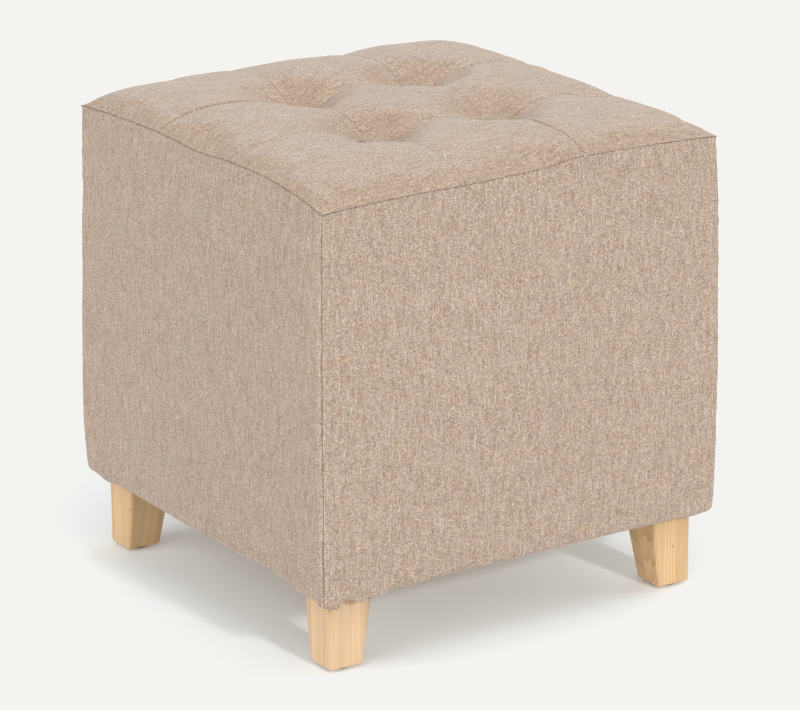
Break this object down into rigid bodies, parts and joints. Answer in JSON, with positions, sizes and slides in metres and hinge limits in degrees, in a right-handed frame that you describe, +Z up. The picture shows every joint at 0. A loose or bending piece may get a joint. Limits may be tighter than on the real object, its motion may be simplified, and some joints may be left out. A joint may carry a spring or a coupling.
{
  "type": "cube pouf stool",
  "caption": "Square upholstered pouf stool with a button-tufted, quilted top, plain padded sides and short tapered wooden legs.",
  "frame": {"origin": "middle of the stool on the floor, under the glides", "axes": "+X to the right, -Y towards the front side, +Z up"},
  "size_m": [0.3838, 0.3838, 0.4059],
  "materials": {
    "cover_cloth": "beige melange weave, matt",
    "button_cloth": "the cover's melange weave, matt",
    "leg_wood": "clear satin lacquer on pale wood",
    "board_wood": "plain raw board",
    "glide_plastic": "dark, matt"
  },
  "bodies": {
    "root": {"top_cushion": "cover_cloth", "side_panel_front": "cover_cloth", "side_panel_right": "cover_cloth", "side_panel_back": "cover_cloth", "side_panel_left": "cover_cloth", "base_board": "board_wood", "leg_front_left": "leg_wood", "leg_front_right": "leg_wood", "leg_back_right": "leg_wood", "leg_back_left": "leg_wood", "glide_front_left": "glide_plastic", "glide_front_right": "glide_plastic", "glide_back_right": "glide_plastic", "glide_back_left": "glide_plastic", "tuft_button_front_left": "button_cloth", "tuft_button_front_right": "button_cloth", "tuft_button_back_right": "button_cloth", "tuft_button_back_left": "button_cloth"}
  },
  "joints": []
}
